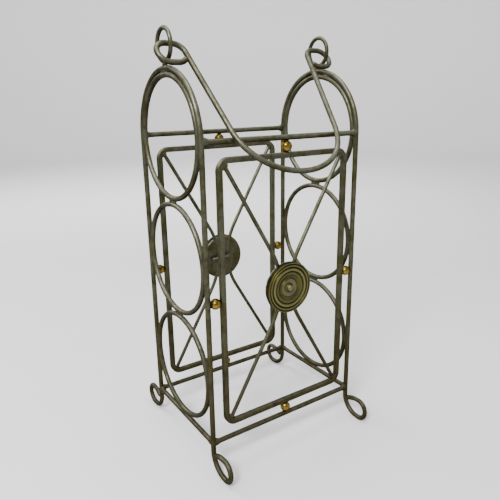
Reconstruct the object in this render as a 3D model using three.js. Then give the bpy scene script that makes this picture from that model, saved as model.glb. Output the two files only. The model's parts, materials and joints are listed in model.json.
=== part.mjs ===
// Wire newspaper rack with a carrying bail.
// Millimetres, +Z up, with the floor at z = 0 and the middle of the rack over the origin.
// The bail leans to the front, which is -Y.
import * as THREE from "three";

// ---- Driving dimensions ----

const rackWidth = 204.5; // between the planes of the two end hoops
const rackDepth = 141; // between the front and back legs of a hoop
const bodyHeight = 335; // from the bottom rods up to the top rods
const rodDiameter = 6; // hoops, ovals, straight rods and bail
const fitGap = 0.3; // room left at every welded or touching joint

const footBendRadius = 22; // leg sweeps outwards into the foot
const footDrop = 10.5; // straight leg below the bottom rods
const footFlat = 3; // level stretch that stands on the floor
const footCurlRadius = 12; // foot turns back over itself
const footTailRadius = 40; // end of the curl dips towards the leg
const footTailAngle = 29;

const ovalGap = 1.2; // weld between one oval and the next
const ringWire = 4.6;
const ringRadius = 16; // to the middle of the wire
const ringWeld = 1; // weld neck between a ring and its arch

const panelBar = 6; // square bar of the panel frames
const panelCornerRadius = 8; // inside corner of a panel frame
const ballDiameter = 12; // brass balls between panel frame and rods
const bentBarDiameter = 4.6;
const bentBarBendRadius = 85;
const bentBarSpacing = 14.8; // between the two bends of a panel, at mid height
const tieBarLength = 26;
const tieBarShift = 6.4; // tie bar is welded off centre, to the right as seen from outside the wall

const medallionRadius = 30;
const medallionThickness = 6.2; // at the rim
const rimBevel = 1.2;
const grooveDepth = 1.4; // two grooves turned inside the rim
const dishDepth = 3; // dish between the shoulder and the hub
const hubDepth = 1.8; // top of the hub, below the rim
const knobRadius = 3.6;
const knobHeight = 4.3; // above the hub

const bailDrop = 163; // from the ring axis to the middle of the grip
const bailGripAngle = 26; // half the sweep of the shallow grip
const bailCornerRadius = 60; // grip turns up into the side
const bailSideAngle = 82.5; // slope of a side, from level
const eyeRadius = 12.6;
const eyeFlat = 6.5; // straight top and bottom that lengthen an eye
const eyeEndGap = 0.55; // between the end of an eye and the side it curls up to
const eyeInset = 2; // middle of an eye's outer bend, inwards of its ring
const eyeRingGap = 1.3; // room between an eye and the ring wire it passes
const eyeArchGap = 0.45; // room between a hanging eye and its arch, at least

const roundSides = 8; // sides of a round rod's section
const arcStep = 15; // degrees from one section to the next round an arc
const arcStepsInTurn = 360 / arcStep;

// ---- Sizes that follow ----

const rodRadius = rodDiameter / 2;
const ringWireRadius = ringWire / 2;
const bentBarRadius = bentBarDiameter / 2;
const ballRadius = ballDiameter / 2;
const halfWidth = rackWidth / 2;
const halfDepth = rackDepth / 2;

const bottomRodHeight = rodRadius + footBendRadius + footDrop;
const topRodHeight = bottomRodHeight + bodyHeight;
const panelHeight = (bottomRodHeight + topRodHeight) / 2;
const archTopHeight = topRodHeight + halfDepth;

// The outer strand of an eye crosses the plane of its ring just outside the ring wire.
const strandDrop = ringRadius + ringWireRadius + eyeRingGap + rodRadius;
const ringHeight = ringAxisHeight();

/** Angle from straight down at which a bail hung at a height leans on the front top rod. */
function restingLean(height) {
  const drop = height - topRodHeight;
  const toRod = Math.hypot(halfDepth, drop);
  return Math.atan2(halfDepth, drop) + Math.asin((rodDiameter + fitGap) / toRod);
}

/** Angle, past its straight bottom, by which an eye curls up until its end is a gap away from the side. */
function eyeTailAngle() {
  const reach = (eyeEndGap + rodRadius - eyeRadius) / (eyeRadius + rodRadius);
  return (Math.acos(reach) * 180) / Math.PI - bailSideAngle;
}

/** Height of the ring axis: rings stand on their welds, or higher if the eyes need room over the arches. */
function ringAxisHeight() {
  const onWeld = archTopHeight + rodRadius + ringWeld + ringWireRadius + ringRadius;
  const reach = halfDepth + rodDiameter + eyeArchGap;
  let height = onWeld;
  for (let i = 0; i < 10; i += 1) {
    const lean = restingLean(height);
    const strandUp = Math.sqrt(reach ** 2 - (strandDrop * Math.sin(lean)) ** 2);
    height = Math.max(onWeld, topRodHeight + strandUp + strandDrop * Math.cos(lean));
  }
  return height;
}

// ---- Finishes ----

const paintedIron = { color: 0x5d5b48, roughness: 0.55, metalness: 0.6 };
const castIron = { color: 0x66613f, roughness: 0.5, metalness: 0.55 };
const brass = { color: 0xa07f2e, roughness: 0.35, metalness: 0.9 };

// ---- Helpers ----

/** Angle in radians. */
const radians = (degrees) => THREE.MathUtils.degToRad(degrees);

/** A named mesh of one piece. */
function piece(name, geometry, finish) {
  const mesh = new THREE.Mesh(geometry, new THREE.MeshStandardMaterial(finish));
  mesh.name = name;
  return mesh;
}

/** Section of a round rod: a polygon whose flat sides lie on the rod's radius. */
function rodSection(radius) {
  const cornerRadius = radius / Math.cos(Math.PI / roundSides);
  const corners = [];
  for (let i = 0; i < roundSides; i += 1) {
    const angle = (2 * Math.PI * (i + 0.5)) / roundSides;
    corners.push(new THREE.Vector2(Math.cos(angle), Math.sin(angle)).multiplyScalar(cornerRadius));
  }
  return new THREE.Shape(corners);
}

/** Middle line of a bent rod in one plane, made of straight runs and arcs that follow on from each other. */
class BentLine extends THREE.Curve {
  /** uAxis and vAxis span the plane; the line starts at (u, v) and heads along +u. */
  constructor(uAxis, vAxis, u, v) {
    super();
    this.uAxis = uAxis;
    this.vAxis = vAxis;
    this.stations = [{ u, v, heading: 0 }];
  }

  /** Last station so far. */
  get end() {
    return this.stations[this.stations.length - 1];
  }

  /** Adds a straight run. */
  line(length) {
    const { u, v, heading } = this.end;
    this.stations.push({
      u: u + length * Math.cos(heading),
      v: v + length * Math.sin(heading),
      heading,
    });
    return this;
  }

  /** Adds an arc; a positive turn, in degrees, goes from +u towards +v. */
  arc(radius, turn) {
    const start = this.end;
    const steps = Math.max(1, Math.round(Math.abs(turn) / arcStep));
    const side = Math.sign(turn) * radius;
    const centreU = start.u - side * Math.sin(start.heading);
    const centreV = start.v + side * Math.cos(start.heading);
    for (let i = 1; i <= steps; i += 1) {
      const heading = start.heading + (radians(turn) * i) / steps;
      this.stations.push({
        u: centreU + side * Math.sin(heading),
        v: centreV - side * Math.cos(heading),
        heading,
      });
    }
    return this;
  }

  /** Adds the mirror image in the v axis before the first station, which lies on that axis. */
  mirrored() {
    const before = this.stations
      .slice(1)
      .reverse()
      .map(({ u, v, heading }) => ({ u: -u, v, heading: -heading }));
    this.stations = [...before, ...this.stations];
    return this;
  }

  /** Number of straight pieces between stations. */
  get steps() {
    return this.stations.length - 1;
  }

  /** Sections stand at the stations, not at equal lengths. */
  getUtoTmapping(share) {
    return share;
  }

  getPoint(share, target = new THREE.Vector3()) {
    const place = share * this.steps;
    const index = Math.min(Math.floor(place), this.steps - 1);
    const a = this.stations[index];
    const b = this.stations[index + 1];
    const u = THREE.MathUtils.lerp(a.u, b.u, place - index);
    const v = THREE.MathUtils.lerp(a.v, b.v, place - index);
    return target.set(0, 0, 0).addScaledVector(this.uAxis, u).addScaledVector(this.vAxis, v);
  }

  getTangent(share, target = new THREE.Vector3()) {
    const { heading } = this.stations[Math.round(share * this.steps)];
    target.set(0, 0, 0).addScaledVector(this.uAxis, Math.cos(heading));
    return target.addScaledVector(this.vAxis, Math.sin(heading)).normalize();
  }
}

/** Middle line of a closed oval in the YZ plane. */
class OvalLine extends THREE.Curve {
  constructor(halfLength, halfHeight) {
    super();
    this.halfLength = halfLength;
    this.halfHeight = halfHeight;
  }

  getUtoTmapping(share) {
    return share;
  }

  getPoint(share, target = new THREE.Vector3()) {
    const angle = 2 * Math.PI * share;
    return target.set(0, this.halfLength * Math.cos(angle), this.halfHeight * Math.sin(angle));
  }
}

/** Solid of a rod bent along a line. */
function bentRod(line, radius) {
  return new THREE.ExtrudeGeometry(rodSection(radius), { extrudePath: line, steps: line.steps });
}

/** Solid of a closed wire oval in the YZ plane, about its own middle. */
function closedRod(halfLength, halfHeight, radius) {
  const line = new OvalLine(halfLength, halfHeight);
  return new THREE.TubeGeometry(line, arcStepsInTurn, radius, roundSides, true);
}

/** Solid of a straight rod along Z, about its own middle. */
function straightRod(length, radius) {
  const options = { depth: length, bevelEnabled: false };
  return new THREE.ExtrudeGeometry(rodSection(radius), options).translate(0, 0, -length / 2);
}

/** Straight rod along X. */
function rodAlongX(length, radius) {
  return straightRod(length, radius).rotateY(Math.PI / 2);
}

/** Straight rod along Y. */
function rodAlongY(length, radius) {
  return straightRod(length, radius).rotateX(Math.PI / 2);
}

const xAxis = new THREE.Vector3(1, 0, 0);
const yAxis = new THREE.Vector3(0, 1, 0);
const zAxis = new THREE.Vector3(0, 0, 1);

// ---- End walls: hoop, ovals, cross rod and ring ----

/** Hoop: an arch on two legs that end in curled feet. */
function hoopGeometry() {
  const line = new BentLine(yAxis, zAxis, 0, archTopHeight)
    .arc(halfDepth, -90)
    .line(bodyHeight + footDrop)
    .arc(footBendRadius, 90)
    .line(footFlat)
    .arc(footCurlRadius, 180)
    .arc(footTailRadius, footTailAngle)
    .mirrored();
  return bentRod(line, rodRadius);
}

/** The three ovals of one end, from the top: half heights and middle heights. */
function ovalStack() {
  const halfLength = halfDepth - rodDiameter - fitGap;
  const upperBottom = topRodHeight - halfLength - rodRadius;
  const crossRodTop = bottomRodHeight + rodRadius + fitGap;
  const roomForTwo = upperBottom - crossRodTop - 2 * ovalGap;
  const halfHeight = roomForTwo / 4 - rodRadius;
  const outerHeight = 2 * (halfHeight + rodRadius);
  const middleHeight = upperBottom - ovalGap - outerHeight / 2;
  return [
    { place: "upper", halfLength, halfHeight: halfLength, height: topRodHeight },
    { place: "middle", halfLength, halfHeight, height: middleHeight },
    { place: "lower", halfLength, halfHeight, height: middleHeight - ovalGap - outerHeight },
  ];
}

/** Everything in the plane of one hoop. */
function endWall(side, x) {
  const wall = new THREE.Group();
  wall.position.x = x;
  wall.add(piece(`${side}_hoop`, hoopGeometry(), paintedIron));
  for (const { place, halfLength, halfHeight, height } of ovalStack()) {
    const geometry = closedRod(halfLength, halfHeight, rodRadius);
    const oval = piece(`${side}_${place}_oval`, geometry, paintedIron);
    oval.position.z = height;
    wall.add(oval);
  }
  const crossLength = rackDepth - 2 * (rodRadius + fitGap);
  const crossRod = piece(`${side}_cross_rod`, rodAlongY(crossLength, rodRadius), paintedIron);
  crossRod.position.z = bottomRodHeight;
  const ringGeometry = closedRod(ringRadius, ringRadius, ringWireRadius);
  const ring = piece(`${side}_ring`, ringGeometry, paintedIron);
  ring.position.z = ringHeight;
  wall.add(crossRod, ring);
  return wall;
}

// ---- Long walls: rods, panel frame, bent bars, medallion and balls ----

const panelStandOff = rodRadius + ballDiameter + 2 * fitGap; // rod axis to the outside of a panel frame
const panelHalfWidth = halfWidth - panelStandOff;
const panelHalfHeight = bodyHeight / 2 - panelStandOff;

/** Outline of a rectangle with round corners, about its own middle. */
function roundRectangle(outline, halfLength, halfHeight, radius) {
  const u = halfLength - radius;
  const v = halfHeight - radius;
  outline.absarc(u, v, radius, 0, Math.PI / 2);
  outline.absarc(-u, v, radius, Math.PI / 2, Math.PI);
  outline.absarc(-u, -v, radius, Math.PI, 1.5 * Math.PI);
  outline.absarc(u, -v, radius, 1.5 * Math.PI, 2 * Math.PI);
  outline.closePath();
  return outline;
}

/** Panel frame of square bar, upright in the XZ plane. */
function panelFrameGeometry() {
  const outerRadius = panelCornerRadius + panelBar;
  const shape = roundRectangle(new THREE.Shape(), panelHalfWidth, panelHalfHeight, outerRadius);
  const insideWidth = panelHalfWidth - panelBar;
  const insideHeight = panelHalfHeight - panelBar;
  shape.holes.push(roundRectangle(new THREE.Path(), insideWidth, insideHeight, panelCornerRadius));
  const options = { depth: panelBar, bevelEnabled: false, curveSegments: 4 };
  return new THREE.ExtrudeGeometry(shape, options)
    .translate(0, 0, -panelBar / 2)
    .rotateX(Math.PI / 2);
}

/** Bent bar from the lower to the upper inside corner of a panel frame; its bend points to the middle. */
function bentBarGeometry(side) {
  // The bar aims at a point on the diagonal of the corner, where a bar of its size would just fit.
  const room = panelCornerRadius - fitGap;
  const aim = (room - bentBarRadius) / Math.SQRT2;
  const aimAcross = panelHalfWidth - panelBar - panelCornerRadius + aim;
  const aimUp = panelHalfHeight - panelBar - panelCornerRadius + aim;
  const bendAt = bentBarSpacing / 2;
  const across = aimAcross - bendAt - bentBarBendRadius;
  const away = Math.hypot(across, aimUp);
  const straight = Math.sqrt(away ** 2 - bentBarBendRadius ** 2);
  const slope = Math.atan2(across, aimUp) + Math.asin(bentBarBendRadius / away);
  // It runs on until the edge of its end meets the round of the corner.
  const edgeAcross = aim + bentBarRadius * Math.cos(slope);
  const edgeUp = aim - bentBarRadius * Math.sin(slope);
  const along = edgeAcross * Math.sin(slope) + edgeUp * Math.cos(slope);
  const runOn = Math.sqrt(along ** 2 + room ** 2 - edgeAcross ** 2 - edgeUp ** 2) - along;
  const outwards = xAxis.clone().multiplyScalar(side);
  const line = new BentLine(zAxis, outwards, 0, bendAt)
    .arc(bentBarBendRadius, THREE.MathUtils.radToDeg(slope))
    .line(straight + runOn)
    .mirrored();
  return bentRod(line, bentBarRadius);
}

/** Medallion: a turned disc about Y, flat at y = 0; its +Y face has rings, grooves, a dish and a knob. */
function medallionGeometry() {
  const face = medallionThickness;
  const groove = face - grooveDepth;
  const dish = face - dishDepth;
  const hub = face - hubDepth;
  // Radius as a share of the medallion's, and height above its flat back.
  const turning = [
    [1, 0],
    [1, face - rimBevel],
    [0.96, face],
    [0.92, face],
    [0.87, groove],
    [0.81, face],
    [0.75, groove],
    [0.67, face],
    [0.54, face - rimBevel / 2],
    [0.36, dish],
    [0.3, (dish + face) / 2],
    [0.16, hub],
  ];
  const points = [
    new THREE.Vector2(0, 0),
    ...turning.map(([share, height]) => new THREE.Vector2(share * medallionRadius, height)),
    new THREE.Vector2(knobRadius, hub + 0.5 * knobHeight),
    new THREE.Vector2(0.6 * knobRadius, hub + 0.9 * knobHeight),
    new THREE.Vector2(0, hub + knobHeight),
  ];
  return new THREE.LatheGeometry(points, arcStepsInTurn);
}

/** Brass balls between the panel frame and the rods and legs round it. */
function balls(wall, name) {
  const between = rodRadius + fitGap + ballRadius;
  const up = bodyHeight / 2 - between;
  const across = halfWidth - between;
  const places = { top: [0, up], bottom: [0, -up], left: [-across, 0], right: [across, 0] };
  for (const [place, [x, z]] of Object.entries(places)) {
    const ball = piece(`${name}_${place}_ball`, new THREE.SphereGeometry(ballRadius, 12, 6), brass);
    ball.position.set(x, 0, z);
    wall.add(ball);
  }
}

/** Front or back wall, about its own middle; facing is -1 at the front and 1 at the back. */
function longWall(name, facing) {
  const wall = new THREE.Group();
  wall.position.set(0, facing * halfDepth, panelHeight);
  const rodLength = rackWidth - 2 * (rodRadius + fitGap);
  for (const [place, side] of [["top", 1], ["bottom", -1]]) {
    const rod = piece(`${name}_${place}_rod`, rodAlongX(rodLength, rodRadius), paintedIron);
    rod.position.z = (side * bodyHeight) / 2;
    wall.add(rod);
  }
  wall.add(piece(`${name}_panel_frame`, panelFrameGeometry(), paintedIron));
  for (const [place, side] of [["left", -1], ["right", 1]]) {
    wall.add(piece(`${name}_${place}_bent_bar`, bentBarGeometry(side), paintedIron));
  }
  const tieBar = piece(`${name}_tie_bar`, rodAlongX(tieBarLength, bentBarRadius), paintedIron);
  tieBar.position.set(-facing * tieBarShift, -facing * (bentBarDiameter + fitGap), 0);
  const medallion = piece(`${name}_medallion`, medallionGeometry(), castIron);
  medallion.position.y = facing * (bentBarRadius + fitGap);
  medallion.rotation.x = facing > 0 ? 0 : Math.PI;
  wall.add(tieBar, medallion);
  balls(wall, name);
  return wall;
}

// ---- Bail ----

/** Line of the bail in its own plane: the ring axis is v = 0 and the grip hangs at v = -bailDrop. */
function bailLine() {
  const eyeDrop = strandDrop - Math.sqrt(eyeRadius ** 2 - eyeInset ** 2);
  const side = radians(bailSideAngle);
  const grip = radians(bailGripAngle);
  const sideTopAcross = halfWidth - eyeInset - eyeFlat - eyeRadius * Math.sin(side);
  const sideTopUp = bailDrop - eyeDrop + eyeRadius * Math.cos(side);
  // The grip's radius and the side's length make the bail reach that point.
  const across = sideTopAcross - bailCornerRadius * (Math.sin(side) - Math.sin(grip));
  const up = sideTopUp - bailCornerRadius * (Math.cos(grip) - Math.cos(side));
  const gripRise = 1 - Math.cos(grip);
  const gripRadius =
    (across * Math.sin(side) - up * Math.cos(side)) /
    (Math.sin(grip) * Math.sin(side) - gripRise * Math.cos(side));
  const sideLength = (up - gripRadius * gripRise) / Math.sin(side);
  return new BentLine(xAxis, zAxis, 0, -bailDrop)
    .arc(gripRadius, bailGripAngle)
    .arc(bailCornerRadius, bailSideAngle - bailGripAngle)
    .line(sideLength)
    .arc(eyeRadius, -bailSideAngle)
    .line(eyeFlat)
    .arc(eyeRadius, -180)
    .line(eyeFlat)
    .arc(eyeRadius, -eyeTailAngle())
    .mirrored();
}

/** Bail hung on the ring axis, leaning forwards on the front top rod. */
function bailGroup() {
  const group = new THREE.Group();
  group.position.z = ringHeight;
  group.rotation.x = -restingLean(ringHeight);
  group.add(piece("bail", bentRod(bailLine(), rodRadius), paintedIron));
  return group;
}

// ---- Rack ----

const rack = new THREE.Group();
rack.add(endWall("left", -halfWidth), endWall("right", halfWidth));
rack.add(longWall("front", -1), longWall("back", 1));
rack.add(bailGroup());

export default rack;
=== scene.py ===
"""Looks of a wire newspaper rack: hooped end walls, framed long walls with medallions, and a swinging bail.

Metres, +Z up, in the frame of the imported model. The bail leans to the front, which is -Y. Places and most
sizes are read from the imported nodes; bends that no node states are fields of the class that makes the piece.
"""

import json
import logging
import math
from collections.abc import Callable, Iterable, Sequence
from dataclasses import dataclass, field
from enum import Enum

import bpy
from mathutils import Matrix, Vector


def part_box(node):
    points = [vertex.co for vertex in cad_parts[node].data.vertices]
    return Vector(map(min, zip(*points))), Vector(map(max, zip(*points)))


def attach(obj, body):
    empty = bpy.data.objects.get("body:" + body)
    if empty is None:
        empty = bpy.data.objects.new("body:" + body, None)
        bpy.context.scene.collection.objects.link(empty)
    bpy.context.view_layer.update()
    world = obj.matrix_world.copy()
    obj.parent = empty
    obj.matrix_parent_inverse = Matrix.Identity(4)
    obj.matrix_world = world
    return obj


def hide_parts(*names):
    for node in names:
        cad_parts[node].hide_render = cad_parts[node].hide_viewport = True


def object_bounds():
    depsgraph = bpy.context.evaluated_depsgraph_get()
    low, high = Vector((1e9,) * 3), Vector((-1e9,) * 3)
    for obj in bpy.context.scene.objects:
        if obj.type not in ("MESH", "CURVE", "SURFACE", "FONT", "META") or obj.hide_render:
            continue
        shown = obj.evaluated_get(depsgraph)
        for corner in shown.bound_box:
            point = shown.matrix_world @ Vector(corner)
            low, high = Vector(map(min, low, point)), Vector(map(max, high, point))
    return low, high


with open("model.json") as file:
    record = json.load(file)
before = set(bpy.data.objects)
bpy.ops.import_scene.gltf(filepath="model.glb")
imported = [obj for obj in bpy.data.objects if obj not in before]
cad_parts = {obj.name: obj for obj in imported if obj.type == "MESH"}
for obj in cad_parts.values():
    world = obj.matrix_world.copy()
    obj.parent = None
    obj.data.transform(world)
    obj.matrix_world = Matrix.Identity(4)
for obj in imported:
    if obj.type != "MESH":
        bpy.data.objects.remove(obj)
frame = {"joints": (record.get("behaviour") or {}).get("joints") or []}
CAD_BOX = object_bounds()

LOG = logging.getLogger("newspaper_rack")
MM = 0.001
SAME_POINT = 1e-6  # vertices nearer than this are one
SEAM = 1e-5  # vertices nearer than this to a mirror plane are joined across it
FRAME_BODY = "rack_frame"
BAIL_BODY = "bail_handle"

X_AXIS = Vector((1.0, 0.0, 0.0))
Y_AXIS = Vector((0.0, 1.0, 0.0))
Z_AXIS = Vector((0.0, 0.0, 1.0))


# ---- Bench: modelling with operators ----


class Section(Enum):
    """Shape of a bar's section: its number of corners."""

    ROUND = 28
    SQUARE = 4


class Slot(Enum):
    """Material slots of the record."""

    IRON = "painted_iron"
    CASTING = "cast_medallions"
    BRASS = "brass_balls"


def deselect_all() -> None:
    """Leaves edit mode and every object unselected."""
    active = bpy.context.object
    if active is not None and active.mode != "OBJECT":
        bpy.ops.object.mode_set(mode="OBJECT")
    bpy.ops.object.select_all(action="DESELECT")


def node_middle(node: str) -> Vector:
    """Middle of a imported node's box.

    Args:
        node: Name of the node.

    Returns:
        The point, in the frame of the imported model.
    """
    low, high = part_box(node)
    return (low + high) / 2


def node_size(node: str) -> Vector:
    """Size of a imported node's box along X, Y and Z.

    Args:
        node: Name of the node.

    Returns:
        The three lengths as a vector.
    """
    low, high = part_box(node)
    return high - low


class Workpiece:
    """A mesh on the bench. It starts as the primitive that was just added and is shaped in edit mode."""

    def __init__(self, name: str) -> None:
        """Takes the active object.

        Args:
            name: Name of the finished piece.
        """
        self.obj: bpy.types.Object = bpy.context.object
        self.obj.name = name
        self.obj.data.name = name

    def choose(self) -> None:
        """Makes this piece the active object and the only selected one."""
        deselect_all()
        bpy.context.view_layer.objects.active = self.obj
        self.obj.select_set(True)

    def edit(self) -> None:
        """Enters edit mode on this piece alone."""
        self.choose()
        bpy.ops.object.mode_set(mode="EDIT")

    def leave(self) -> None:
        """Goes back to object mode, with this piece active and selected."""
        bpy.ops.object.mode_set(mode="OBJECT")

    def pick(self, wanted: Callable[[Vector, Vector], bool]) -> None:
        """Selects faces and stays in edit mode.

        Args:
            wanted: Called with a face's centre and normal, in the piece's own axes.
        """
        self.leave()
        for part in (self.obj.data.vertices, self.obj.data.edges):
            for item in part:
                item.select = False
        for face in self.obj.data.polygons:
            face.select = wanted(face.center, face.normal)
        bpy.ops.object.mode_set(mode="EDIT")
        bpy.ops.mesh.select_mode(type="FACE")

    def tidy(self) -> None:
        """Merges doubles and turns every face outwards."""
        bpy.ops.mesh.select_all(action="SELECT")
        bpy.ops.mesh.remove_doubles(threshold=SAME_POINT)
        bpy.ops.mesh.normals_make_consistent(inside=False)

    def modify(self, kind: str, **settings: object) -> None:
        """Adds a modifier and applies it.

        Args:
            kind: Blender's name of the modifier type.
            **settings: Properties of the modifier.
        """
        self.choose()
        modifier = self.obj.modifiers.new(kind.title(), kind)
        for key, value in settings.items():
            setattr(modifier, key, value)
        bpy.ops.object.modifier_apply(modifier=modifier.name)

    def lift(self, height: float) -> None:
        """Draws what is picked out along Z.

        Args:
            height: Length of the draw, negative for down.
        """
        bpy.ops.mesh.extrude_region_move(TRANSFORM_OT_translate={"value": (0.0, 0.0, height)})

    def widen(self, ratio: float) -> None:
        """Widens what is picked, about the Z axis.

        Args:
            ratio: Share by which it grows along X and Y.
        """
        bpy.ops.transform.resize(value=(ratio, ratio, 1.0), center_override=(0.0, 0.0, 0.0))

    def wobble(self, texture: bpy.types.Texture, depth: float) -> None:
        """Makes the surface uneven, as forged or poured metal is.

        Args:
            texture: Noise that says where the surface stands proud.
            depth: Full height of the unevenness.
        """
        self.settle()
        self.modify("DISPLACE", texture=texture, texture_coords="LOCAL", strength=depth, mid_level=0.5)

    def settle(self) -> None:
        """Puts the object at the origin, unturned and unscaled, with its place in its mesh."""
        self.choose()
        bpy.ops.object.transform_apply(location=True, rotation=True, scale=True)

    def place(self, matrix: Matrix) -> None:
        """Moves the piece, then settles it.

        Args:
            matrix: Where the piece goes from where it is.
        """
        self.obj.matrix_world = matrix @ self.obj.matrix_world
        self.settle()

    def copy(self, name: str) -> "Workpiece":
        """Copies the piece with a mesh of its own.

        Args:
            name: Name of the copy.

        Returns:
            The copy.
        """
        self.choose()
        bpy.ops.object.duplicate(linked=False)
        return Workpiece(name)

    def smooth(self, sharp_above: float = 40.0) -> None:
        """Shades the piece smooth, except across sharp edges.

        Args:
            sharp_above: Smallest angle of an edge that stays sharp, in degrees.
        """
        self.choose()
        bpy.ops.object.shade_smooth_by_angle(angle=math.radians(sharp_above))

    def swallow(self, others: Iterable["Workpiece"]) -> None:
        """Joins other pieces into this one.

        Args:
            others: Pieces that stop being separate.
        """
        self.choose()
        for other in others:
            other.obj.select_set(True)
        bpy.ops.object.join()

    def hand_over(self, body: str, slot: Slot, *nodes: str) -> None:
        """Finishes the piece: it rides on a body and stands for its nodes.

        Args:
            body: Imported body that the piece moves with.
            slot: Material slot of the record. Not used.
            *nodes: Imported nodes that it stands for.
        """
        self.settle()
        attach(self.obj, body)
        if nodes:
            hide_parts(*nodes)
        LOG.info("%-26s %6d faces, rides on %s", self.obj.name, len(self.obj.data.polygons), body)


class Bar(Workpiece):
    """A bar drawn out from its first section along straight runs and bends that lie in one plane."""

    BEND_STEP = 5.0
    RUN_STEP = 8.0 * MM
    # The weld at a rod's end: its height against the rod's, how that is shared out over the steps, how much
    # each step widens it and how it narrows in the leg. Lengths are in radii.
    FILLET_HEIGHT = 1.5
    FILLET_RISES = (0.05, 0.1, 0.18, 0.28)
    FILLET_SPREAD = 1.01
    FILLET_TIP = (0.96, 0.86)
    FILLET_STEP = 0.3
    FILLET_NECK = 0.6
    FILLET_ROOT = 0.9
    FILLET_REACH = len(FILLET_RISES) * FILLET_STEP + FILLET_NECK + FILLET_ROOT
    # The dome at a cut end: its height in radii, its steps and the share of the section left at its tip.
    DOME_HEIGHT = 0.45
    DOME_STEPS = 4
    DOME_TIP = 0.12

    def __init__(
        self,
        name: str,
        start: Vector,
        along: Vector,
        across: Vector,
        radius: float,
        section: Section = Section.ROUND,
    ) -> None:
        """Adds the first section and stays in edit mode.

        Args:
            name: Name of the piece.
            start: Middle of the first section.
            along: Unit vector in which the bar sets off.
            across: Unit vector square to it in the plane of the bends; a positive bend turns towards it.
            radius: Half the thickness of the bar.
            section: Shape of the section.
        """
        side = along.cross(across)
        turn = Matrix((across, side, along)).transposed()
        corner = radius
        if section is Section.SQUARE:
            turn = turn @ Matrix.Rotation(math.pi / 4, 3, "Z")
            corner = radius * math.sqrt(2)
        deselect_all()
        bpy.ops.mesh.primitive_circle_add(
            vertices=section.value,
            radius=corner,
            fill_type="NOTHING",
            location=start,
            rotation=turn.to_euler(),
        )
        super().__init__(name)
        self.radius = radius
        self.at = start.copy()
        self.along, self.across = along.copy(), across.copy()
        self.heading = 0.0
        self.edit()
        bpy.ops.mesh.select_mode(type="VERT")
        bpy.ops.mesh.select_all(action="SELECT")

    @property
    def ahead(self) -> Vector:
        """Unit vector in which the bar now points."""
        return math.cos(self.heading) * self.along + math.sin(self.heading) * self.across

    @property
    def aside(self) -> Vector:
        """Unit vector towards the inside of a positive bend."""
        return math.cos(self.heading) * self.across - math.sin(self.heading) * self.along

    def draw(self, length: float) -> None:
        """Draws one more stretch out of the last section, in a single step.

        Args:
            length: Length of the stretch.
        """
        step = self.ahead * length
        bpy.ops.mesh.extrude_region_move(TRANSFORM_OT_translate={"value": step})
        self.at += step

    def run(self, length: float) -> "Bar":
        """Draws a straight run.

        Args:
            length: Length of the run.

        Returns:
            The bar itself, so that calls follow on.
        """
        steps = max(1, round(length / self.RUN_STEP))
        for _ in range(steps):
            self.draw(length / steps)
        return self

    def bend(self, radius: float, turn: float) -> "Bar":
        """Bends the bar on.

        Args:
            radius: Radius of the bar's middle line.
            turn: Angle of the bend in degrees, positive towards the inside.

        Returns:
            The bar itself, so that calls follow on.
        """
        inwards = math.copysign(1.0, turn) * self.aside
        centre = self.at + inwards * radius
        steps = max(2, round(abs(turn) / self.BEND_STEP))
        bpy.ops.mesh.spin(
            steps=steps,
            angle=-math.radians(turn),
            center=centre,
            axis=self.along.cross(self.across),
        )
        self.heading += math.radians(turn)
        outwards = -math.copysign(1.0, turn) * self.aside
        self.at = centre + outwards * radius
        return self

    def swell(self, along_z: float, along_side: float) -> None:
        """Widens the last section.

        Args:
            along_z: Share by which it grows along Z.
            along_side: Share by which it grows along X and Y.
        """
        bpy.ops.transform.resize(value=(along_side, along_side, along_z), center_override=self.at)

    def fillet(self) -> "Bar":
        """Ends the bar in the weld that joins it to an upright of its own thickness.

        Returns:
            The bar itself.
        """
        total = sum(self.FILLET_RISES)
        height = 1.0
        for rise in self.FILLET_RISES:
            self.draw(self.FILLET_STEP * self.radius)
            grown = height + (self.FILLET_HEIGHT - 1.0) * rise / total
            self.swell(grown / height, self.FILLET_SPREAD)
            height = grown
        self.draw(self.FILLET_NECK * self.radius)
        self.draw(self.FILLET_ROOT * self.radius)
        self.swell(*self.FILLET_TIP)
        self.close()
        return self

    def round_end(self) -> "Bar":
        """Ends the bar in a blunt, hammered dome.

        Returns:
            The bar itself.
        """
        before = 1.0
        for index in range(1, self.DOME_STEPS + 1):
            share = index / self.DOME_STEPS
            width = max(self.DOME_TIP, math.sqrt(1.0 - share**2))
            self.draw(self.DOME_HEIGHT * self.radius / self.DOME_STEPS)
            self.swell(width / before, width / before)
            before = width
        self.close()
        return self

    def close(self) -> None:
        """Closes the last section with a face."""
        bpy.ops.mesh.edge_face_add()

    def finish(self) -> "Bar":
        """Ends the drawing out, and adds the other half by mirroring in the plane of the first section.

        Returns:
            The bar itself, settled.
        """
        self.leave()
        along_only = (False, False, True)
        self.modify("MIRROR", use_axis=along_only, use_mirror_merge=True, merge_threshold=SEAM)
        self.edit()
        self.tidy()
        self.leave()
        self.settle()
        return self

    def forge(self, hammering: bpy.types.Texture, depth: float) -> "Bar":
        """Makes the finished bar uneven and shades it smooth.

        Args:
            hammering: Noise that says where the surface stands proud.
            depth: Full height of the unevenness.

        Returns:
            The bar itself.
        """
        self.wobble(hammering, depth)
        self.smooth()
        return self

    def ease_corners(self, width: float) -> None:
        """Rounds the long edges of a square bar.

        Args:
            width: Width of the rounding.
        """
        self.edit()
        bpy.ops.mesh.select_mode(type="EDGE")
        bpy.ops.mesh.select_all(action="DESELECT")
        bpy.ops.mesh.edges_select_sharp(sharpness=math.radians(60))
        bpy.ops.mesh.bevel(offset=width, segments=3, profile=0.5)
        self.leave()


# ---- Finishes ----

Colour = tuple[float, float, float, float]


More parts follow.
